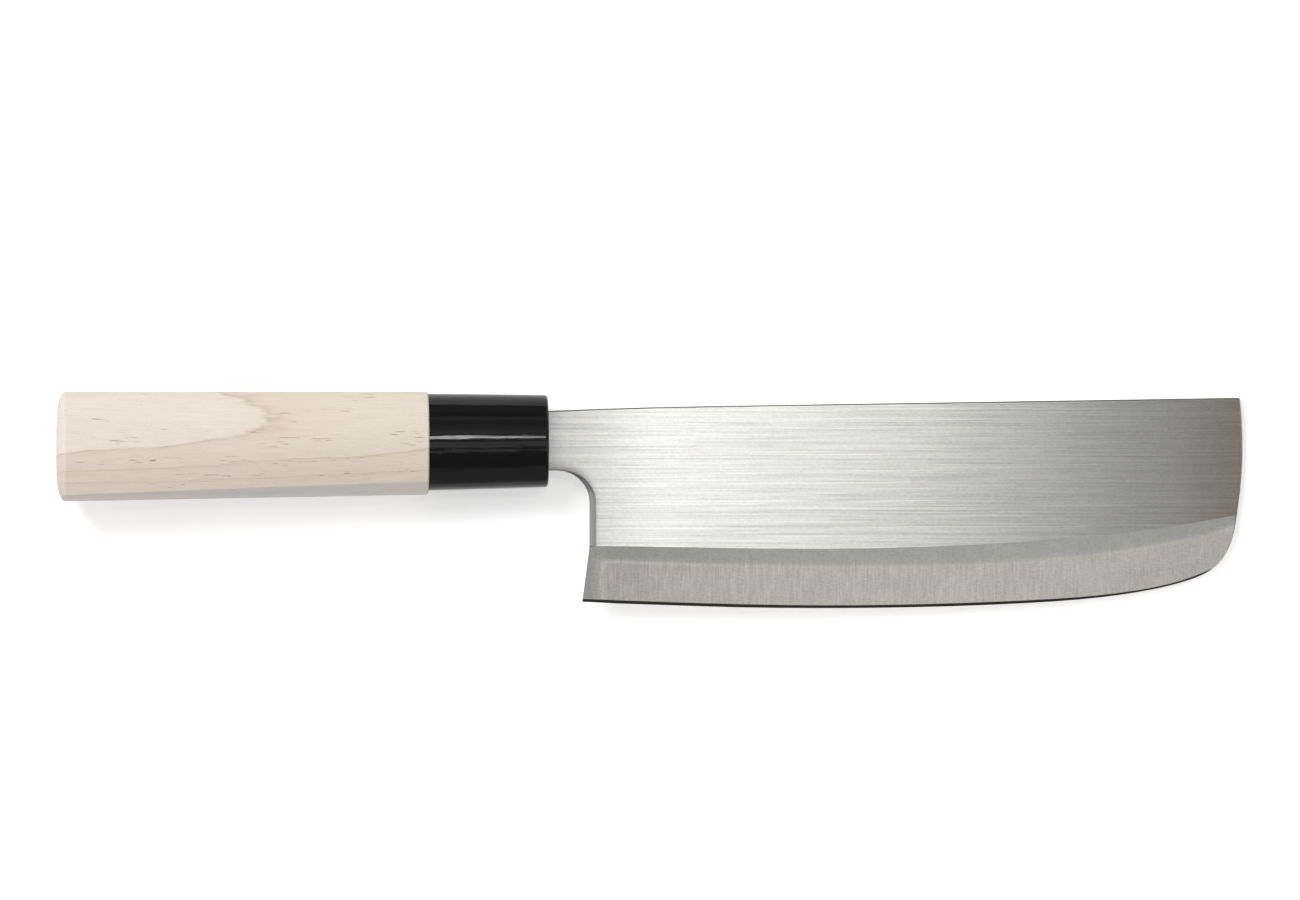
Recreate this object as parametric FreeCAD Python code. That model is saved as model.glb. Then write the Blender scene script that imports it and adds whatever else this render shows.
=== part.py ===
import FreeCAD, Part
import math
import os

# A kitchen knife for vegetables: laminated blade, plastic ferrule, wooden grip with a D-shaped section.
# Lengths are in millimetres and angles in degrees.
# The pieces are drawn with X along the knife and 0 at the front of the ferrule, Y towards the spine
# and 0 on the axis of the neck, Z out of the right side and 0 in the middle plane of the blade.
# At the end the knife is laid on its left side, as it rests on a table.

# Blade outline
blade_length = 165.0
blade_thickness = 2.0
blade_drop = 34.3
heel_offset = 8.7
heel_rise = 1.6
spine_tip_height = 10.75
spine_bend = 40.0
spine_bend_height = 8.65
tip_radius = 105.0
tip_peak_height = -1.25
tip_front_rise = 24.5
tip_corner_radius = 0.5
edge_break = 0.3

# Edge curve: share of the blade length from the heel, and rise over the lowest point
belly_share = 0.35
sweep_share = 0.657
sweep_rise = 1.1
# Rounded corner below the tip: distance behind the tip, and rise over the lowest point
corner_points = [(26.6, 3.9), (14.6, 6.6), (6.65, 10.5), (2.8, 16.5)]

# Neck between the ferrule and the heel
neck_height = 14.9
neck_reach = 10.5
neck_radius = 8.0
neck_bevel_narrow = 0.35
neck_bevel_wide = 1.6
neck_bevel_depth = 0.45
neck_bevel_run_out = 0.25

# Ground bevels: rises over the lowest point of the edge at heel, belly, sweep, near the tip and tip
bevel_top_rises = [15.5, 14.8, 16.4, 20.7, 23.5]
bevel_band_rises = [12.5, 10.8, 11.8, 16.4, 20.3]
bevel_foot_rises = [1.6, 0.0, 1.1, 6.4, 9.6]
bevel_tip_inset = 15.6
bevel_band_cut = 0.17
bevel_edge_half = 0.16
# Narrow sharpened bevel along the edge, which runs out at the corner below the tip
sharp_angle = 13.0
sharp_half = 0.04
sharp_run_out_half = 0.34

# Hard core inside the blade
core_thickness = 0.7
core_height = 24.0

# Tang
tang_length = 82.0
tang_thickness = 1.6
tang_height_front = 9.0
tang_height_end = 5.0
bedding_thickness = 0.8

# Ferrule
ferrule_length = 29.9
ferrule_top_back = 11.8
ferrule_top_front = 11.45
ferrule_height_back = 24.3
ferrule_height_front = 23.1
ferrule_width_back = 19.6
ferrule_width_front = 18.8
ferrule_ridge_rise = 0.5
ferrule_ridge_inset = 3.0
ferrule_ridge_radius = 5.5
ferrule_edge_radius = 0.8
ferrule_wall = 2.2
ferrule_front_wall = 3.0
slot_clearance = 0.15
tenon_clearance = 0.1

# Grip
grip_length = 92.6
grip_top = 12.25
grip_height_front = 25.7
grip_height_butt = 27.4
grip_width_front = 20.6
grip_width_butt = 21.8
grip_ridge_rise_front = 3.4
grip_ridge_rise_butt = 1.6
grip_ridge_inset = 1.7
grip_front_break = 0.3
butt_round_depth = 2.0
butt_round_reach = 7.0
butt_round_steps = 6

# Places worked out from the sizes
half_blade = blade_thickness / 2
neck_half = neck_height / 2
heel_x = heel_offset
tip_x = heel_x + blade_length
belly_x = heel_x + belly_share * blade_length
sweep_x = heel_x + sweep_share * blade_length
edge_low = -neck_half - blade_drop
joint_x = -ferrule_length
butt_x = joint_x - grip_length

# How far cutting bodies run past the metal that they cut
overrun = 2.5 * blade_thickness
ruling_overrun = 0.2
neck_overrun = 1.5


def vec(x, y, z=0.0):
    return FreeCAD.Vector(x, y, z)


def line(start, end):
    return Part.LineSegment(start, end).toShape()


def quarter_ellipse(start, corner, end):
    """Exact quarter of an ellipse from start to end, tangent to the two sides that meet at corner."""
    curve = Part.BezierCurve()
    curve.setPoles([start, corner, end])
    curve.setWeight(2, math.sqrt(0.5))
    return curve.toShape()


def tip_front_x(y):
    """X of the bowed front of the tip at height y."""
    return tip_x - tip_radius + math.sqrt(tip_radius ** 2 - (y - tip_peak_height) ** 2)


def spine_edges():
    """Spine from the shoulder to the tip: a gentle bend that runs into a straight line."""
    shoulder = vec(0, neck_half)
    bend = vec(spine_bend, spine_bend_height)
    end = vec(tip_front_x(spine_tip_height), spine_tip_height)
    slope = (end.y - bend.y) / (end.x - bend.x)
    bend_pole = vec(spine_bend / 2, bend.y - slope * spine_bend / 2)
    curve = Part.BezierCurve()
    curve.setPoles([shoulder, bend_pole, bend])
    return [curve.toShape(), line(bend, end)]


def tip_edges():
    """Bowed front of the tip, then the rounded corner and the edge back to the heel."""
    top = vec(tip_front_x(spine_tip_height), spine_tip_height)
    peak = vec(tip_x, tip_peak_height)
    join_y = edge_low + tip_front_rise
    join = vec(tip_front_x(join_y), join_y)
    front = Part.Arc(top, peak, join).toShape()
    points = [join]
    for back, rise in reversed(corner_points):
        points.append(vec(tip_x - back, edge_low + rise))
    points.append(vec(sweep_x, edge_low + sweep_rise))
    points.append(vec(belly_x, edge_low))
    points.append(vec(heel_x, edge_low + heel_rise))
    lean = (join_y - tip_peak_height) / (tip_x - tip_radius - join.x)
    down = vec(-lean, -1).normalize()
    back = vec(heel_x - belly_x, 2 * heel_rise).normalize()
    edge = Part.BSplineCurve()
    edge.interpolate(Points=points, InitialTangent=down, FinalTangent=back, Scale=False)
    return [front, edge.toShape()]


def neck_edges():
    """Heel line, upright side of the notch, notch curve and underside of the neck."""
    heel = vec(heel_x, edge_low + heel_rise)
    bevel_start = vec(neck_reach, edge_low + bevel_top_rises[0])
    notch_low = vec(neck_reach, -neck_half - neck_radius)
    notch_corner = vec(neck_reach, -neck_half)
    notch_high = vec(neck_reach - neck_radius, -neck_half)
    shoulder = vec(0, -neck_half)
    curve = quarter_ellipse(notch_low, notch_corner, notch_high)
    return [line(heel, bevel_start), line(bevel_start, notch_low), curve, line(notch_high, shoulder)]


def blade_blank():
    """Plate with the outline of the blade, its spine, tip and shoulder edges broken."""
    shoulder = line(vec(0, -neck_half), vec(0, neck_half))
    edges = spine_edges() + tip_edges() + neck_edges() + [shoulder]
    face = Part.Face(Part.Wire(Part.__sortEdges__(edges)))
    face.translate(vec(0, 0, -half_blade))
    blank = face.extrude(vec(0, 0, blade_thickness))
    corner = [e for e in blank.Edges if is_tip_corner(e)]
    blank = blank.makeFillet(tip_corner_radius, corner)
    return blank.makeChamfer(edge_break, [e for e in blank.Edges if is_outer_edge(e)])


def is_tip_corner(edge):
    """True for the upright edge where the spine meets the tip."""
    centre = edge.CenterOfMass
    return abs(centre.z) < edge_break and centre.y > spine_bend_height and centre.x > tip_x - tip_radius


def is_outer_edge(edge):
    """True for the edges of both flats along the spine, the tip and the shoulder."""
    centre = edge.CenterOfMass
    if abs(abs(centre.z) - half_blade) > edge_break / 2:
        return False
    on_spine = centre.y > neck_half - edge_break
    on_tip = centre.x > tip_x - tip_radius and centre.y > edge_low + tip_front_rise
    on_shoulder = centre.x < edge_break
    return on_spine or on_tip or on_shoulder


def guide(points):
    """Curve through points with X as its parameter."""
    curve = Part.BSplineCurve()
    curve.interpolate(Points=points, Parameters=[p.x for p in points])
    return curve.toShape()


def bevel_points(rises, z):
    """Points over the stations of the bevel, run on past the heel and the tip."""
    stations = [heel_x, belly_x, sweep_x, tip_x - bevel_tip_inset, tip_x]
    points = [vec(x, edge_low + rise, z) for x, rise in zip(stations, rises)]
    first = points[0] - vec(overrun, 0)
    last_step = points[-1] - points[-2]
    last = points[-1] + last_step * (overrun / last_step.x)
    return [first] + points + [last]


def run_on(points, before):
    """Points moved on along the straight lines that come from the points before."""
    return [p + (p - q) * ruling_overrun for p, q in zip(points, before)]


def ruled_cutter(upper, lower):
    """Body over the ruled surface between two guides."""
    return Part.makeRuledSurface(guide(upper), guide(lower)).extrude(vec(0, 0, overrun))


def bevel_cutters():
    """Bodies that grind the right side: upper band, lower band and sharpened edge."""
    top = bevel_points(bevel_top_rises, half_blade)
    band = bevel_points(bevel_band_rises, half_blade - bevel_band_cut)
    foot = bevel_points(bevel_foot_rises, bevel_edge_half)
    upper = ruled_cutter(run_on(top, band), band)
    lower = ruled_cutter(band, run_on(foot, band))
    return [upper, lower, sharp_cutter()]


def sharp_cutter():
    """Body that sharpens the edge and fades out at the corner below the tip."""
    rises = [heel_rise, 0.0, sweep_rise] + [rise for back, rise in corner_points[:3]]
    stations = [heel_x, belly_x, sweep_x] + [tip_x - back for back, rise in corner_points[:3]]
    halves = [sharp_half] * 4 + [2 * sharp_half, sharp_run_out_half]
    edge = [vec(x, edge_low + rise, half) for x, rise, half in zip(stations, rises, halves)]
    edge = [edge[0] - (edge[1] - edge[0]) * (overrun / (belly_x - heel_x))] + edge
    climb = vec(0, half_blade, half_blade * math.tan(math.radians(sharp_angle)))
    return ruled_cutter([p + climb for p in edge], [p - climb for p in edge])


def neck_cutters():
    """Bodies that break the right edge of the notch, wider on the upright side, as far as the bevel."""
    pairs = zip(neck_line(neck_overrun), neck_line(-neck_overrun))
    return [Part.makeRuledSurface(inner, outer).extrude(vec(0, 0, overrun)) for inner, outer in pairs]


def neck_line(share):
    """Notch outline moved into the metal by a share of the width of its broken edge."""
    z = half_blade + neck_bevel_depth * (share - 1)
    narrow = share * neck_bevel_narrow
    wide = share * neck_bevel_wide
    centre_x = neck_reach - neck_radius
    centre_y = -neck_half - neck_radius
    side_x = neck_reach + wide
    under_y = -neck_half + narrow
    start = vec(-overrun, under_y, z)
    high = vec(centre_x, under_y, z)
    low = vec(side_x, centre_y, z)
    bevel_start = vec(side_x, edge_low + bevel_top_rises[0], z)
    end = bevel_start + vec(0, -neck_bevel_run_out, neck_bevel_depth)
    curve = quarter_ellipse(high, vec(side_x, under_y, z), low)
    return [line(start, high), curve, line(low, bevel_start), line(bevel_start, end)]


def mirrored(shape):
    """The same shape on the other side of the middle plane of the blade."""
    return shape.mirror(vec(0, 0), vec(0, 0, 1))


def tang_block(grow, start, end):
    """Tapered tang between two places on X, with its four sides moved out by grow."""
    wires = []
    for x in (start, end):
        share = -x / tang_length
        height = tang_height_front + share * (tang_height_end - tang_height_front)
        y = height / 2 + grow
        z = tang_thickness / 2 + grow
        corners = [vec(x, -y, -z), vec(x, y, -z), vec(x, y, z), vec(x, -y, z), vec(x, -y, -z)]
        wires.append(Part.makePolygon(corners))
    return Part.makeLoft(wires, True, True)


def whole_blade():
    """Ground blade with its tang."""
    blade = blade_blank()
    for cutter in bevel_cutters() + neck_cutters():
        blade = blade.cut(cutter).cut(mirrored(cutter))
    return blade.fuse(tang_block(0, 0, -tang_length)).removeSplitter()


def core_space():
    """Slab in the middle of the blade that the hard core fills."""
    low = edge_low - overrun
    high = edge_low + core_height
    length = blade_length + 2 * overrun
    corner = vec(heel_x - overrun, low, -core_thickness / 2)
    return Part.makeBox(length, high - low, core_thickness, corner)


def d_section(x, top, height, width, ridge_rise, ridge_inset):
    """Closed D-shaped section at x: an oval with a ridge low on its right side."""
    bottom = top - height
    girth = top - height / 2
    side = width / 2
    ridge_z = side - ridge_inset
    ridge = vec(x, bottom + ridge_rise, ridge_z)
    top_point = vec(x, top, 0)
    right = vec(x, girth, side)
    bottom_point = vec(x, bottom, 0)
    left = vec(x, girth, -side)
    flank = tangent_arc(right, ridge, vec(0, -1, 0))
    facet = tangent_arc(bottom_point, ridge, vec(0, 0, 1))
    edges = [quarter_ellipse(top_point, vec(x, top, side), right)]
    edges.append(flank)
    edges.append(facet)
    edges.append(quarter_ellipse(bottom_point, vec(x, bottom, -side), left))
    edges.append(quarter_ellipse(left, vec(x, top, -side), top_point))
    return Part.Wire(Part.__sortEdges__(edges))


def tangent_arc(start, end, direction):
    """Arc from start to end that sets out along direction."""
    chord = end - start
    along = chord.dot(direction)
    aside = chord - direction * along
    offset = aside.Length
    radius = (along ** 2 + offset ** 2) / (2 * offset)
    inward = aside * (1 / offset)
    half_turn = math.asin(along / radius) / 2
    ahead = direction * (radius * math.sin(half_turn))
    inside = inward * (radius * (1 - math.cos(half_turn)))
    return Part.Arc(start, start + ahead + inside, end).toShape()


def between(front, back, share):
    return front + (back - front) * share


def grip_section(x, inset=0.0):
    """Section of the grip at x, drawn in all round by inset."""
    share = (joint_x - x) / grip_length
    height = between(grip_height_front, grip_height_butt, share)
    width = between(grip_width_front, grip_width_butt, share)
    rise = between(grip_ridge_rise_front, grip_ridge_rise_butt, share)
    return d_section(x, grip_top - inset, height - 2 * inset, width - 2 * inset, rise, grip_ridge_inset)


def ferrule_section(x, inset=0.0):
    """Section of the ferrule at x, drawn in all round by inset."""
    share = -x / ferrule_length
    top = between(ferrule_top_front, ferrule_top_back, share)
    height = between(ferrule_height_front, ferrule_height_back, share)
    width = between(ferrule_width_front, ferrule_width_back, share)
    height -= 2 * inset
    width -= 2 * inset
    return d_section(x, top - inset, height, width, ferrule_ridge_rise, ferrule_ridge_inset)


def make_ferrule():
    """Moulded cap: soft ridge, rounded front edge, socket for the tenon and slot for the tang."""
    shell = Part.makeLoft([ferrule_section(joint_x), ferrule_section(0)], True, True)
    lengthwise = [e for e in shell.Edges if e.BoundBox.XLength > ferrule_length / 2]
    ridge = max(lengthwise, key=lambda e: e.CenterOfMass.z - e.CenterOfMass.y)
    shell = shell.makeFillet(ferrule_ridge_radius, [ridge])
    front = [e for e in shell.Edges if e.BoundBox.XMin > -ferrule_edge_radius / 2]
    shell = shell.makeFillet(ferrule_edge_radius, front)
    socket = tenon_block(ferrule_wall)
    slot = tang_block(slot_clearance, overrun, -ferrule_front_wall - overrun)
    return shell.cut(socket).cut(slot)


def tenon_block(inset):
    """Inside of the ferrule drawn in by inset, from its back to its front wall."""
    wires = [ferrule_section(joint_x, inset), ferrule_section(-ferrule_front_wall, inset)]
    return Part.makeLoft(wires, True, True)


def tang_pocket():
    """Hole in the grip and its tenon that holds the tang and its bedding."""
    return tang_block(bedding_thickness, -ferrule_front_wall, -tang_length - bedding_thickness)


def butt_round():
    """Rounded end of the grip."""
    wires = []
    for step in range(butt_round_steps + 1):
        turn = math.pi / 2 * step / butt_round_steps
        x = butt_x + butt_round_depth * (1 - math.sin(turn))
        wires.append(grip_section(x, butt_round_reach * (1 - math.cos(turn))))
    return Part.makeLoft(wires, True, False)


def make_grip():
    """Wooden grip with its broken front edge, rounded butt, tenon and pocket for the tang."""
    break_x = joint_x - grip_front_break
    body = Part.makeLoft([grip_section(butt_x + butt_round_depth), grip_section(break_x)], True, True)
    collar = Part.makeLoft([grip_section(break_x), grip_section(joint_x, grip_front_break)], True, True)
    tenon = tenon_block(ferrule_wall + tenon_clearance)
    grip = body.fuse([collar, butt_round(), tenon])
    return grip.cut(tang_pocket())


def rest_tilt():
    """Turn about Y that brings the tip down to the table when the ferrule lies on it."""
    drop = ferrule_width_front / 2 - half_blade
    return math.degrees(math.atan2(drop, tip_x))


def laid_down(pieces):
    """The pieces turned to their rest, with the origin under the middle of their box."""
    for shape in pieces.values():
        shape.rotate(vec(0, 0), vec(0, 1), rest_tilt())
    box = Part.makeCompound(list(pieces.values())).optimalBoundingBox(False)
    for shape in pieces.values():
        shape.translate(vec(-box.Center.x, -box.Center.y, -box.ZMin))
    return pieces


def build():
    blade = whole_blade()
    pieces = {
        "blade_body": blade.cut(core_space()),
        "core_steel": blade.common(core_space()),
        "ferrule": make_ferrule(),
        "handle_grip": make_grip(),
        "tang_bedding": tang_pocket().cut(tang_block(0, 0, -tang_length)),
    }
    return laid_down(pieces)


os.makedirs("parts", exist_ok=True)
for name, shape in build().items():
    solid = shape.Solids[0]
    print(name, len(shape.Solids), solid.isValid(), round(solid.Volume, 1), solid.BoundBox)
    shape.exportStep("parts/" + name + ".step")
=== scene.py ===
import math

import bpy
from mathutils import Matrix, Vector

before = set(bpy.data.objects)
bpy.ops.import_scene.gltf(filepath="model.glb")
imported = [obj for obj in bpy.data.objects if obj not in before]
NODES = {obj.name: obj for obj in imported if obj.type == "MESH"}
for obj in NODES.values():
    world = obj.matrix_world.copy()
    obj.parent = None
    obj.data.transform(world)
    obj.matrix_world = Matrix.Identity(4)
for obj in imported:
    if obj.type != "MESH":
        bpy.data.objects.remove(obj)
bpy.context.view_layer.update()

# Lengths are in metres, or in millimetres where a name ends in _MM or _mm. Colours are linear.
# The frame: +X to the tip, +Y to the spine, +Z up. The shaders measure in millimetres on this frame.
MM_IN_METRE = 1000.0

# The photograph looks straight down: its middle on the frame, and the width it takes in.
VIEW_MIDDLE = Vector((0.00010, 0.01246, 0.0))
VIEW_WIDTH = 0.3247
CAMERA_HEIGHT = 8.0
CAMERA_REACH = 50.0
SENSOR_WIDTH_MM = 36.0

# The blade from heel to tip, and the lowest line of its edge.
BLADE_START_MM = -16.8
BLADE_END_MM = 148.0
EDGE_LOW_MM = -27.0

# Where the two bands of the bevel meet: shares of the blade's length, and heights over the lowest line.
BAND_STATIONS = [0.0, 0.350, 0.657, 0.905, 1.0]
BAND_RISES_MM = [12.5, 10.9, 11.9, 17.1, 21.8]
BAND_RISE_SPAN_MM = 30.0
# The lower band ends softly at the heel: its place, how slowly it sets in, and the round of its corner.
HEEL_BORDER_MM = -13.8
HEEL_BORDER_SLOPE = 0.35
BAND_CORNER_MM = 1.5

# The round corner of the notch behind the heel: its middle and its radius.
NOTCH_MIDDLE_MM = (-22.4, -0.27)
NOTCH_RADIUS_MM = 7.5

# How the faces of the blade are told apart: each sets in over a range of its normal or of its place.
# BROKEN stands for the broken edge of the notch and RIM for the narrow sides of the plate.
BEVEL_NORMAL_Y = (-0.012, -0.024)
HONED_NORMAL_Y = (-0.14, -0.19)
HONED_TOP_MM = (-11.0, -13.0)
BROKEN_NORMAL_Z = (0.993, 0.985)
BROKEN_FOOT_MM = (-12.6, -12.2)
RIM_NORMAL_Z = (0.94, 0.90)

FLAT_LEVEL = 0.66
FLAT_TINT = (1.0, 1.0, 0.96)
# A warm painted reflection on the flats at the tip.
TIP_REFLECTION_TINT = (0.94, 0.82, 0.70)
UPPER_BAND_COLOUR = (0.476, 0.48, 0.457)
LOWER_BAND_COLOUR = (0.66, 0.632, 0.582)
# The broken edge of the notch, painted as shaded where it stands upright and as lit where it curves.
BROKEN_UPRIGHT_SHADED_COLOUR = (0.29, 0.293, 0.278)
BROKEN_CURVE_LIT_COLOUR = (0.96, 0.97, 0.93)
# Painted shade: the honed edge and the narrow sides of the plate are given dark colours.
HONED_SHADED_COLOUR = (0.10, 0.10, 0.095)
RIM_SHADED_COLOUR = (0.20, 0.19, 0.18)
FLAT_ROUGHNESS = 0.29
BEVEL_ROUGHNESS = 0.37
STEEL_ANISOTROPY = 0.88
STEEL_RELIEF_MM = 0.0014
ALONG_BLADE = (1.0, 0.0, 0.0)
ACROSS_BLADE = (0.0, 1.0, 0.0)

BLACK_DEEP_COLOUR = (0.0056, 0.0061, 0.0058)
BLACK_PALE_COLOUR = (0.0084, 0.0091, 0.0087)
BLACK_ROUGHNESS = 0.09
BLACK_SPECULAR = 0.25
BLACK_RELIEF_MM = 0.02

# The arched growth line on the right side of the grip: its tip, the height of the wood there, how the tip
# moves with each millimetre of height, how blunt the arch is, and how much flatter its upper half is.
ARCH_TIP_MM = (-92.4, 19.5)
ARCH_HEIGHT_MM = 22.0
ARCH_LEAN = (0.8, 0.15)
ARCH_BLUNTNESS_MM = 1.25
ARCH_UPPER_SHARE = 0.4
# The lines follow each other at this spacing, and each fades from dark to pale over these shares of it.
LINE_START_MM = 300.0
LINE_SPACING_MM = 75.0
LINE_STOPS = [(0.0, 1.0), (0.025, 0.62), (0.08, 0.30), (0.30, 0.12), (0.965, 0.04), (1.0, 1.0)]
LINE_STRENGTH = 0.70
PORE_STRENGTH = 0.75
# How strongly painted cool light greys the downward facet of the grip.
FACET_LIGHT_STRENGTH = 0.5

WOOD_HIGH_COLOUR = (0.81, 0.72, 0.625)
WOOD_LOW_SHADED_COLOUR = (0.72, 0.625, 0.537)
WOOD_INSIDE_COLOUR = (0.83, 0.745, 0.663)
WOOD_LINE_COLOUR = (0.58, 0.44, 0.31)
WOOD_PORE_COLOUR = (0.30, 0.19, 0.12)
WOOD_FACET_LIT_COLOUR = (0.77, 0.735, 0.74)
WOOD_ROUGHNESS = 0.62
WOOD_SPECULAR = 0.25
WOOD_RELIEF_MM = 0.03

RESIN_DARK_COLOUR = (0.36, 0.25, 0.13)
RESIN_PALE_COLOUR = (0.47, 0.34, 0.19)
RESIN_ROUGHNESS = 0.5
RESIN_RELIEF_MM = 0.05

FLOOR_SIZE = 12.0
FLOOR_LEVEL = -0.0002
FLOOR_COLOUR = (0.90, 0.90, 0.90)

WHITE = (1.0, 1.0, 1.0)
CEILING_COLOUR = (0.15, 0.148, 0.145)
GAP_COLOUR = (0.074, 0.070, 0.062)
OPENING_COLOUR = (1.08, 1.08, 1.07)
SPINE_WALL_LEVEL = 0.26
EDGE_WALL_COLOUR = (0.50, 0.50, 0.50)
BUTT_WALL_COLOUR = (0.72, 0.72, 0.72)
HORIZON_COLOUR = (0.92, 0.92, 0.92)


class Graph:
    """The node tree of one material or world, with short calls for the nodes that are used here."""

    def __init__(self, tree):
        self.tree = tree
        tree.nodes.clear()

    def add(self, kind, **settings):
        node = self.tree.nodes.new(kind)
        for name, value in settings.items():
            setattr(node, name, value)
        return node

    def feed(self, socket, value):
        """Links value if it is a socket, and otherwise sets it as the constant."""
        if isinstance(value, bpy.types.NodeSocket):
            self.tree.links.new(value, socket)
        elif socket.type == "RGBA":
            socket.default_value = (*value, 1.0)
        else:
            socket.default_value = value

    def feed_named(self, node, values):
        for name, value in values.items():
            self.feed(node.inputs[name], value)

    def math(self, operation, *values):
        node = self.add("ShaderNodeMath", operation=operation)
        for socket, value in zip(node.inputs, values):
            self.feed(socket, value)
        return node.outputs[0]

    def chain(self, operation, values):
        """One operation applied from the first value to the last."""
        result = values[0]
        for value in values[1:]:
            result = self.math(operation, result, value)
        return result

    def total(self, *values):
        return self.chain("ADD", values)

    def product(self, *values):
        return self.chain("MULTIPLY", values)

    def minus(self, first, second):
        return self.math("SUBTRACT", first, second)

    def quotient(self, first, second):
        return self.math("DIVIDE", first, second)

    def remap(self, value, low, high, to_low=0.0, to_high=1.0):
        """Value from low..high to to_low..to_high, eased and clamped at both ends."""
        node = self.add("ShaderNodeMapRange", interpolation_type="SMOOTHSTEP")
        for socket, number in zip(node.inputs, (value, low, high, to_low, to_high)):
            self.feed(socket, number)
        return node.outputs[0]

    def band(self, value, start, full_from, full_to, end):
        """1 from full_from to full_to, eased to 0 at start and at end."""
        return self.product(self.remap(value, start, full_from), self.remap(value, end, full_to))

    def blend(self, share, first, second):
        """Number that goes from first to second as share goes from 0 to 1."""
        return self.total(self.product(first, self.minus(1.0, share)), self.product(second, share))

    def mix(self, share, first, second):
        """Colour that goes from first to second as share goes from 0 to 1."""
        node = self.add("ShaderNodeMix", data_type="RGBA")
        self.feed(node.inputs["Factor"], share)
        self.feed(node.inputs[6], first)
        self.feed(node.inputs[7], second)
        return node.outputs[2]

    def scaled(self, vector, factors):
        node = self.add("ShaderNodeVectorMath", operation="MULTIPLY")
        self.feed(node.inputs[0], vector)
        self.feed(node.inputs[1], factors)
        return node.outputs[0]

    def dimmed(self, colour, factor):
        node = self.add("ShaderNodeVectorMath", operation="SCALE")
        self.feed(node.inputs[0], colour)
        self.feed(node.inputs["Scale"], factor)
        return node.outputs[0]

    def noise(self, vector, factors, detail=2.0):
        """Smooth noise, about 0.5 on average, with factors features a millimetre along each axis."""
        node = self.add("ShaderNodeTexNoise")
        self.feed_named(node, {"Vector": self.scaled(vector, factors), "Scale": 1.0, "Detail": detail})
        return node.outputs["Fac"]

    def swing(self, value, amount):
        """Value around 0.5 turned into a swing of amount around zero."""
        return self.product(self.minus(value, 0.5), amount)

    def split(self, vector):
        node = self.add("ShaderNodeSeparateXYZ")
        self.feed(node.inputs[0], vector)
        return node.outputs

    def joined(self, x, y, z):
        node = self.add("ShaderNodeCombineXYZ")
        for socket, value in zip(node.inputs, (x, y, z)):
            self.feed(socket, value)
        return node.outputs[0]

    def bump(self, height, depth_mm):
        """Normal for a relief whose height of 0 to 1 stands for depth_mm."""
        node = self.add("ShaderNodeBump")
        self.feed_named(node, {"Strength": 1.0, "Distance": depth_mm / MM_IN_METRE, "Height": height})
        return node.outputs[0]

    def curve(self, value, points):
        node = self.add("ShaderNodeFloatCurve")
        line = node.mapping.curves[0]
        while len(line.points) < len(points):
            line.points.new(0.5, 0.5)
        for point, place in zip(line.points, points):
            point.location = place
        node.mapping.update()
        self.feed(node.inputs["Value"], value)
        return node.outputs[0]

    def grey_ramp(self, value, stops):
        node = self.add("ShaderNodeValToRGB")
        stripe = node.color_ramp
        while len(stripe.elements) < len(stops):
            stripe.elements.new(0.5)
        for element, (place, grey) in zip(stripe.elements, stops):
            element.position = place
            element.color = (grey, grey, grey, 1.0)
        self.feed(node.inputs["Fac"], value)
        return node.outputs["Color"]


def new_material(name):
    """An empty material, its graph and its shader, which is linked to the output."""
    material = bpy.data.materials.new(name)
    material.use_nodes = True
    graph = Graph(material.node_tree)
    shader = graph.add("ShaderNodeBsdfPrincipled")
    output = graph.add("ShaderNodeOutputMaterial")
    graph.feed(output.inputs["Surface"], shader.outputs[0])
    return material, graph, shader


def place_mm(graph):
    """Place on the object in millimetres, and the object's own surface normal."""
    coordinates = graph.add("ShaderNodeTexCoord")
    place = graph.scaled(coordinates.outputs["Object"], (MM_IN_METRE, MM_IN_METRE, MM_IN_METRE))
    return place, coordinates.outputs["Normal"]


def band_depth(graph, x, y):
    """How far inside the lower band of the bevel a place lies, and how far in from its end at the heel."""
    along = graph.quotient(graph.minus(x, BLADE_START_MM), BLADE_END_MM - BLADE_START_MM)
    points = [(station, rise / BAND_RISE_SPAN_MM) for station, rise in zip(BAND_STATIONS, BAND_RISES_MM)]
    rise = graph.product(graph.curve(along, points), BAND_RISE_SPAN_MM)
    under_border = graph.minus(graph.total(rise, EDGE_LOW_MM), y)
    from_heel = graph.product(graph.minus(x, HEEL_BORDER_MM), HEEL_BORDER_SLOPE)
    return graph.math("SMOOTH_MIN", under_border, from_heel, BAND_CORNER_MM), from_heel


def notch_distance(graph, x, y):
    """Millimetres from the rim of the notch into the blade."""
    right = graph.math("MAXIMUM", graph.minus(x, NOTCH_MIDDLE_MM[0]), 0.0)
    above = graph.math("MAXIMUM", graph.minus(y, NOTCH_MIDDLE_MM[1]), 0.0)
    square = graph.total(graph.product(right, right), graph.product(above, above))
    return graph.minus(graph.math("SQRT", square), NOTCH_RADIUS_MM)


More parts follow.
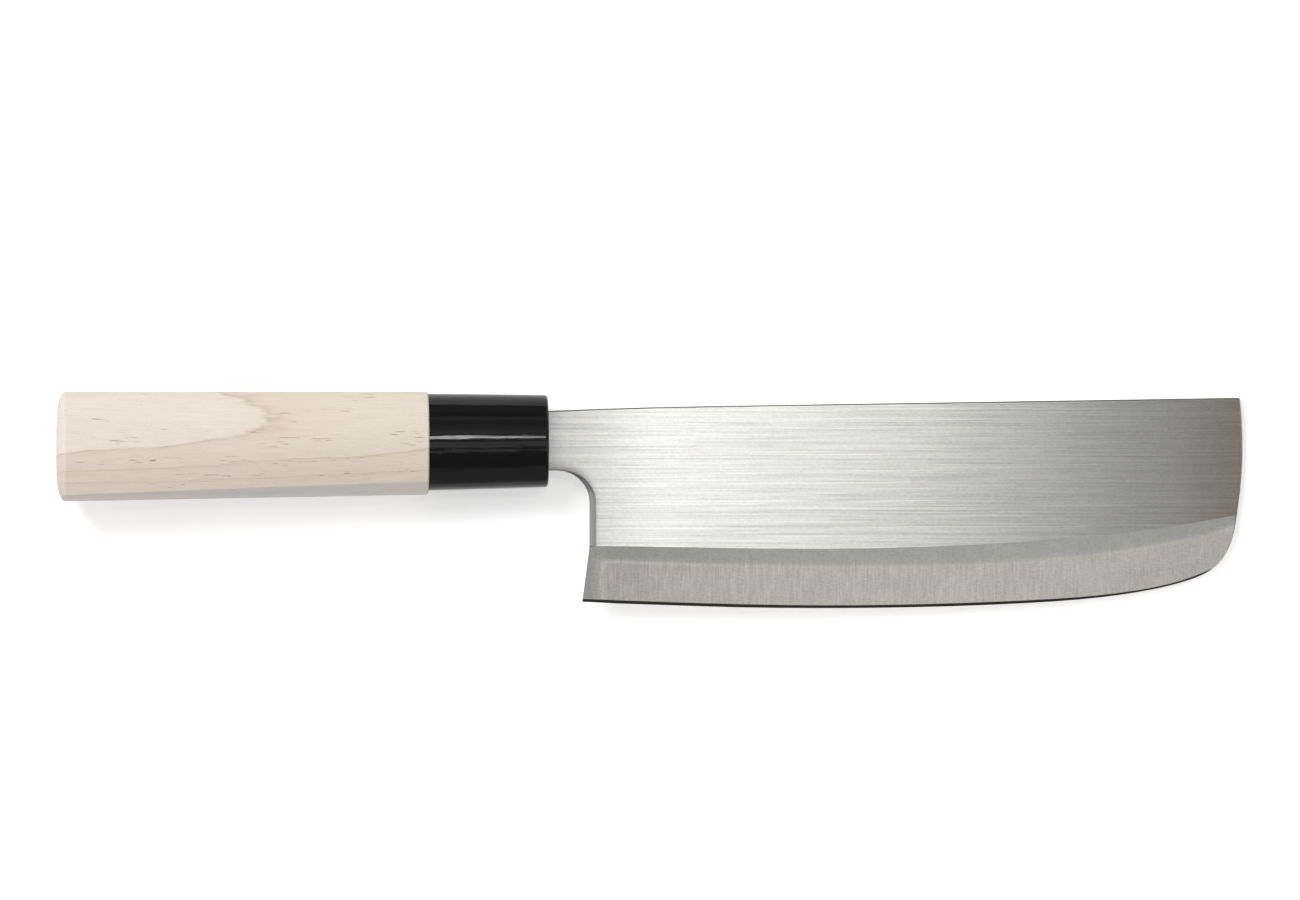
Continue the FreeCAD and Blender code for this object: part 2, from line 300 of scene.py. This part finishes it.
def flat_look(graph, place, x, from_notch, grain):
    """Colour of the flats, and the height of the lengthwise brushing on them."""
    lines = graph.noise(place, (0.010, 1.9, 0.010), detail=3.0)
    hairs = graph.noise(place, (0.05, 2.8, 0.05), detail=3.0)
    brushing = graph.product(graph.total(lines, hairs), 0.5)
    broad = graph.noise(place, (0.012, 0.4, 0.012))
    cut_field = graph.noise(place, (0.03, 2.4, 0.03), detail=1.0)

    calmer_to_tip = graph.remap(x, 60.0, 125.0, 1.0, 0.72)
    brushed = graph.product(graph.swing(brushing, 0.80), calmer_to_tip)
    deep_cuts = graph.remap(cut_field, 0.62, 0.76, 0.0, 0.08)
    value = graph.total(FLAT_LEVEL, brushed, graph.swing(broad, 0.06), graph.swing(grain, 0.20))
    value = graph.minus(value, deep_cuts)

    # Painted shade: the flat darkens towards the handle, with a painted shadow of the ferrule right next to
    # it.
    painted_shade_to_handle = graph.remap(x, -27.0, 5.0, 0.61, 1.0)
    painted_ferrule_shadow = graph.remap(x, -26.5, -20.5, 0.70, 1.0)
    # Painted shade along the rounded rim of the notch.
    painted_notch_shade = graph.remap(from_notch, 0.1, 2.8, 0.52, 1.0)
    value = graph.product(value, painted_shade_to_handle, painted_ferrule_shadow, painted_notch_shade)
    # Painted reflection: a warm tone over the flat towards the tip.
    tint = graph.mix(graph.remap(x, 128.0, 150.0), FLAT_TINT, TIP_REFLECTION_TINT)
    return graph.dimmed(tint, value), brushing


def bevel_look(graph, place, x, y, grain):
    """Colour of the ground bevel, and the height of the crosswise grinding on it."""
    grinding = graph.noise(place, (3.2, 0.20, 0.05), detail=3.0)
    broad = graph.noise(place, (0.10, 0.12, 0.05), detail=3.0)
    inside_band, from_heel = band_depth(graph, x, y)
    ragged = graph.total(inside_band, graph.swing(grinding, 0.5))
    lower = graph.remap(ragged, -1.3, 1.7)

    # Painted highlight: a light line along the border between the two bands, strongest near the heel.
    off_border = graph.math("ABSOLUTE", graph.minus(ragged, 0.5))
    border_highlight_mask = graph.product(graph.remap(off_border, 0.7, 0.1), graph.remap(from_heel, 0.0, 1.0))
    painted_border_highlight = graph.product(border_highlight_mask, graph.remap(x, 40.0, -14.0, 0.07, 0.20))
    calmer_above = graph.remap(lower, 0.0, 1.0, 0.4, 1.0)
    calmer_to_tip = graph.remap(x, 85.0, 125.0, 1.0, 0.7)
    streaks = graph.product(graph.swing(grinding, 0.62), calmer_above, calmer_to_tip)
    # Painted shade: the bevel darker near the heel and towards the tip.
    painted_heel_shade = graph.remap(x, -16.0, 45.0, -0.14, 0.0)
    painted_tip_shade = graph.remap(x, 105.0, 145.0, 0.0, -0.08)
    mottle = graph.total(graph.swing(broad, 0.20), graph.swing(grain, 0.40))
    value = graph.total(1.0, painted_heel_shade, painted_tip_shade, streaks, painted_border_highlight, mottle)
    tint = graph.mix(lower, UPPER_BAND_COLOUR, LOWER_BAND_COLOUR)
    return graph.dimmed(tint, value), grinding


def brushed_steel(name):
    """Stainless steel: flats brushed lengthwise, bevels ground crosswise, with painted light and shade on the
    edges.
    """
    material, graph, shader = new_material(name)
    place, normal = place_mm(graph)
    x, y, _ = graph.split(place)
    normal_x, normal_y, normal_z = graph.split(normal)
    facing = graph.math("ABSOLUTE", normal_z)
    bevel = graph.remap(normal_y, *BEVEL_NORMAL_Y)
    honed = graph.product(graph.remap(normal_y, *HONED_NORMAL_Y), graph.remap(y, *HONED_TOP_MM))
    broken = graph.product(graph.remap(facing, *BROKEN_NORMAL_Z), graph.remap(y, *BROKEN_FOOT_MM))
    rim = graph.remap(facing, *RIM_NORMAL_Z)

    grain = graph.noise(place, (1.1, 2.2, 1.1))
    from_notch = notch_distance(graph, x, y)
    flat_colour, brushing = flat_look(graph, place, x, from_notch, grain)
    bevel_colour, grinding = bevel_look(graph, place, x, y, grain)
    # Painted light and shade on the broken edge of the notch: one steel, dark where upright and pale where it
    # curves, with a painted shade line along its inner border.
    on_curve = graph.remap(normal_x, -0.25, -0.15)
    painted_shade_inwards = graph.remap(from_notch, 0.4, 1.1, 1.06, 0.92)
    painted_broken_colour = graph.mix(on_curve, BROKEN_UPRIGHT_SHADED_COLOUR, BROKEN_CURVE_LIT_COLOUR)
    colour = graph.mix(bevel, flat_colour, bevel_colour)
    colour = graph.mix(broken, colour, graph.dimmed(painted_broken_colour, painted_shade_inwards))
    # Painted shade: the honed edge and the narrow sides of the plate near black, for the thin dark lines
    # along the edge and the spine.
    colour = graph.mix(honed, colour, HONED_SHADED_COLOUR)
    colour = graph.mix(rim, colour, RIM_SHADED_COLOUR)

    flat_rough = graph.total(FLAT_ROUGHNESS, graph.swing(brushing, 0.03))
    bevel_rough = graph.total(BEVEL_ROUGHNESS, graph.swing(grinding, 0.14))
    relief = graph.blend(bevel, brushing, grinding)

    # The shine spreads across the marks: across the blade on the flats, and along it on the bevels and on
    # the upright side of the notch.
    broken_upright = graph.product(broken, graph.remap(normal_x, -0.12, -0.20))
    ground_crosswise = graph.math("MAXIMUM", bevel, broken_upright)
    graph.feed_named(shader, {
        "Base Color": colour,
        "Metallic": 1.0,
        "Roughness": graph.blend(bevel, flat_rough, bevel_rough),
        "Anisotropic": STEEL_ANISOTROPY,
        "Tangent": graph.mix(ground_crosswise, ACROSS_BLADE, ALONG_BLADE),
        "Normal": graph.bump(relief, STEEL_RELIEF_MM),
    })
    return material


def black_plastic(name):
    """Polished black moulding: a faint cloud in the gloss, hairline scratches and a slight waviness."""
    material, graph, shader = new_material(name)
    place, _ = place_mm(graph)
    ripple = graph.noise(place, (0.10, 0.9, 0.9), detail=1.0)
    hairs = graph.noise(place, (0.25, 7.0, 7.0), detail=3.0)
    cloud = graph.noise(place, (0.3, 0.3, 0.3), detail=3.0)
    height = graph.total(ripple, graph.swing(hairs, 0.06))
    graph.feed_named(shader, {
        "Base Color": graph.mix(cloud, BLACK_DEEP_COLOUR, BLACK_PALE_COLOUR),
        "Roughness": graph.total(BLACK_ROUGHNESS, graph.swing(hairs, 0.07), graph.swing(cloud, 0.05)),
        "Specular IOR Level": BLACK_SPECULAR,
        "Normal": graph.bump(height, BLACK_RELIEF_MM),
    })
    return material


def growth_level(graph, place):
    """How far outside the arched growth line a place lies, in millimetres along the grip."""
    x, y, z = graph.split(place)
    wander = graph.noise(place, (0.035, 0.16, 0.16), detail=3.0)
    drift = graph.noise(place, (0.015, 0.09, 0.09))
    mottle = graph.noise(place, (0.14, 0.30, 0.30))
    height = graph.minus(z, ARCH_HEIGHT_MM)
    arch_x = graph.total(ARCH_TIP_MM[0], graph.product(height, ARCH_LEAN[0]))
    arch_y = graph.total(ARCH_TIP_MM[1], graph.product(height, ARCH_LEAN[1]))
    above = graph.total(graph.minus(y, arch_y), graph.swing(wander, 2.0))
    off_axis = graph.math("MAXIMUM", graph.product(above, -1.0), graph.product(above, ARCH_UPPER_SHARE))
    swell = graph.quotient(graph.product(off_axis, off_axis), ARCH_BLUNTNESS_MM)
    reach = graph.minus(arch_x, x)
    return graph.total(graph.minus(swell, reach), graph.swing(drift, 20.0), graph.swing(mottle, 14.0))


def wood_pores(graph, place, line, inside):
    """Short dark pores in groups, more of them on the growth lines and fewer inside the arch."""
    field = graph.noise(place, (0.14, 3.9, 3.9), detail=0.5)
    group = graph.total(graph.noise(place, (0.05, 0.35, 0.35)), graph.swing(line, 0.10))
    group = graph.minus(group, graph.product(inside, 0.035))
    return graph.product(graph.remap(field, 0.675, 0.73), graph.remap(group, 0.47, 0.57))


def pale_wood(name):
    """Bare flat-sawn magnolia: arched growth lines, fine fibre, short dark pores."""
    material, graph, shader = new_material(name)
    place, normal = place_mm(graph)
    y = graph.split(place)[1]
    normal_y = graph.split(normal)[1]
    fibre = graph.noise(place, (0.10, 2.4, 2.4), detail=4.0)
    streak = graph.noise(place, (0.03, 0.9, 0.9), detail=3.0)
    patch = graph.noise(place, (0.04, 0.2, 0.2), detail=3.0)
    speck = graph.noise(place, (1.6, 3.0, 3.0))

    level = growth_level(graph, place)
    ring = graph.math("FRACT", graph.quotient(graph.total(level, LINE_START_MM), LINE_SPACING_MM))
    unbroken = graph.remap(streak, 0.32, 0.62, 0.45, 1.0)
    line = graph.product(graph.grey_ramp(ring, LINE_STOPS), unbroken)
    inside = graph.remap(level, 5.0, -12.0)
    # Painted shade: outside the arch the wood darkens towards the bottom of the grip.
    outside_colour = graph.mix(graph.remap(y, 19.0, 4.0), WOOD_HIGH_COLOUR, WOOD_LOW_SHADED_COLOUR)
    ground = graph.mix(inside, outside_colour, WOOD_INSIDE_COLOUR)
    colour = graph.mix(graph.product(line, LINE_STRENGTH), ground, WOOD_LINE_COLOUR)

    shade = graph.total(1.0, graph.swing(fibre, 0.16), graph.swing(streak, 0.10))
    shade = graph.total(shade, graph.swing(patch, 0.06), graph.swing(speck, 0.12))
    pores = wood_pores(graph, place, line, inside)
    colour = graph.mix(graph.product(pores, PORE_STRENGTH), graph.dimmed(colour, shade), WOOD_PORE_COLOUR)
    # Painted light: the downward-facing facet is turned a cooler grey.
    facet_light = graph.product(graph.remap(normal_y, -0.35, -0.75), FACET_LIGHT_STRENGTH)
    height = graph.total(graph.swing(fibre, 0.7), graph.product(pores, -0.8))
    graph.feed_named(shader, {
        "Base Color": graph.mix(facet_light, colour, WOOD_FACET_LIT_COLOUR),
        "Roughness": graph.total(WOOD_ROUGHNESS, graph.swing(fibre, 0.2)),
        "Specular IOR Level": WOOD_SPECULAR,
        "Normal": graph.bump(height, WOOD_RELIEF_MM),
    })
    return material


def set_resin(name):
    """Amber resin with faint clouds and small bubbles."""
    material, graph, shader = new_material(name)
    place, _ = place_mm(graph)
    cloud = graph.noise(place, (0.4, 0.4, 0.4), detail=3.0)
    bubbles = graph.noise(place, (2.5, 2.5, 2.5), detail=1.0)
    graph.feed_named(shader, {
        "Base Color": graph.mix(cloud, RESIN_DARK_COLOUR, RESIN_PALE_COLOUR),
        "Roughness": graph.total(RESIN_ROUGHNESS, graph.swing(cloud, 0.2)),
        "Normal": graph.bump(bubbles, RESIN_RELIEF_MM),
    })
    return material


def white_floor():
    """A wide white table that takes the shadow, with a little light of its own for the eye and for gloss."""
    bpy.ops.mesh.primitive_plane_add(size=FLOOR_SIZE, location=(0.0, 0.0, FLOOR_LEVEL))
    floor = bpy.context.object
    floor.name = "floor"
    material = bpy.data.materials.new("table_white")
    material.use_nodes = True
    graph = Graph(material.node_tree)
    rays = graph.add("ShaderNodeLightPath").outputs
    seen = graph.math("MAXIMUM", rays["Is Camera Ray"], rays["Is Glossy Ray"])
    seen = graph.math("MAXIMUM", seen, rays["Is Transmission Ray"])
    x = graph.split(place_mm(graph)[0])[0]
    # Painted light: the table's glow rises away from the handle and again towards the tip, thinning the
    # blade's shadow there.
    rising_from_handle = graph.remap(x, -50.0, 15.0, 0.385, 0.46)
    rising_to_tip = graph.remap(x, 60.0, 150.0, 0.0, 0.04)
    level = graph.total(rising_from_handle, rising_to_tip)

    diffuse = graph.add("ShaderNodeBsdfDiffuse")
    graph.feed(diffuse.inputs["Color"], FLOOR_COLOUR)
    glow = graph.add("ShaderNodeEmission")
    graph.feed_named(glow, {"Color": WHITE, "Strength": graph.product(seen, level)})
    both = graph.add("ShaderNodeAddShader")
    graph.feed(both.inputs[0], diffuse.outputs[0])
    graph.feed(both.inputs[1], glow.outputs[0])
    output = graph.add("ShaderNodeOutputMaterial")
    graph.feed(output.inputs["Surface"], both.outputs[0])
    floor.data.materials.append(material)


def studio_world():
    """A dim ceiling with a bright opening and a dark gap across it, and pale walls down to the horizon."""
    world = bpy.data.worlds.new("studio")
    bpy.context.scene.world = world
    world.use_nodes = True
    graph = Graph(world.node_tree)
    toward_x, toward_y, toward_z = graph.split(graph.add("ShaderNodeTexCoord").outputs["Generated"])

    gap = graph.band(toward_x, -0.06, 0.0, 0.20, 0.26)
    opening = graph.product(graph.band(toward_y, -0.24, -0.19, 0.02, 0.06), graph.minus(1.0, gap))
    colour = graph.mix(gap, CEILING_COLOUR, GAP_COLOUR)
    colour = graph.mix(opening, colour, OPENING_COLOUR)

    spine_wall = graph.band(toward_y, 0.25, 0.28, 0.77, 0.82)
    brighter_above = graph.remap(toward_y, 0.58, 0.27, 0.0, 0.55)
    ledge = graph.remap(toward_y, 0.69, 0.75, 0.0, 0.26)
    level = graph.total(SPINE_WALL_LEVEL, brighter_above, ledge)
    colour = graph.mix(spine_wall, colour, graph.joined(level, level, level))

    edge_wall = graph.remap(toward_y, -0.52, -0.58)
    colour = graph.mix(edge_wall, colour, EDGE_WALL_COLOUR)
    low_behind_spine = graph.product(graph.remap(toward_z, 0.50, 0.32), graph.remap(toward_y, 0.30, 0.50))
    lift = graph.product(low_behind_spine, graph.remap(toward_x, 0.28, 0.45, 0.12, 0.24))
    colour = graph.mix(lift, colour, WHITE)
    butt_wall = graph.remap(toward_x, -0.34, -0.48)
    colour = graph.mix(butt_wall, colour, BUTT_WALL_COLOUR)
    horizon = graph.remap(toward_z, 0.03, 0.0)
    colour = graph.mix(horizon, colour, HORIZON_COLOUR)

    background = graph.add("ShaderNodeBackground")
    graph.feed_named(background, {"Color": colour, "Strength": 1.0})
    output = graph.add("ShaderNodeOutputWorld")
    graph.feed(output.inputs["Surface"], background.outputs[0])


def panel_light(name, middle, size, aim, radiance, mirrored=True):
    """A soft rectangular panel whose face is as bright as radiance, where 1 lights white fully.

    Where mirrored is false it lights the scene but doesn't show in polished surfaces.
    """
    data = bpy.data.lights.new(name, "AREA")
    data.shape = "RECTANGLE"
    data.size, data.size_y = size
    data.energy = radiance * math.pi * size[0] * size[1]
    lamp = bpy.data.objects.new(name, data)
    lamp.location = middle
    lamp.visible_glossy = mirrored
    lamp.rotation_euler = (Vector(aim) - Vector(middle)).to_track_quat("-Z", "Y").to_euler()
    bpy.context.scene.collection.objects.link(lamp)


def studio_lights():
    """Two strips and two sheets overhead, and a key from behind the butt and the spine."""
    panel_light("strip", (0.123, 0.157, 0.90), (0.118, 0.066), aim=(0.123, 0.0, 0.0), radiance=14.5)
    panel_light("strip_end", (0.043, 0.157, 0.90), (0.042, 0.066), aim=(0.043, 0.0, 0.0), radiance=22.0)
    panel_light("near_sheet", (0.055, -0.036, 0.90), (0.110, 0.116), aim=(0.055, -0.036, 0.0), radiance=1.15)
    panel_light("far_sheet", (0.055, -0.164, 0.90), (0.110, 0.032), aim=(0.055, -0.164, 0.0), radiance=1.5)
    panel_light("key", (-0.445, 0.42, 0.80), (0.38, 0.38), aim=(0.0, 0.0, 0.0), radiance=10.6, mirrored=False)


def camera_above():
    data = bpy.data.cameras.new("camera")
    data.sensor_width = SENSOR_WIDTH_MM
    data.lens = SENSOR_WIDTH_MM * CAMERA_HEIGHT / VIEW_WIDTH
    data.clip_end = CAMERA_REACH
    camera = bpy.data.objects.new("camera", data)
    camera.location = VIEW_MIDDLE + Vector((0.0, 0.0, CAMERA_HEIGHT))
    bpy.context.scene.collection.objects.link(camera)
    bpy.context.scene.camera = camera


def dress(node, material):
    NODES[node].data.materials.clear()
    NODES[node].data.materials.append(material)


dress("blade_body", brushed_steel("steel_jacket"))
dress("core_steel", brushed_steel("steel_core"))
dress("ferrule", black_plastic("ferrule_black"))
dress("handle_grip", pale_wood("grip_wood"))
dress("tang_bedding", set_resin("tang_resin"))

white_floor()
studio_world()
studio_lights()
camera_above()
bpy.context.scene.view_settings.view_transform = "Standard"
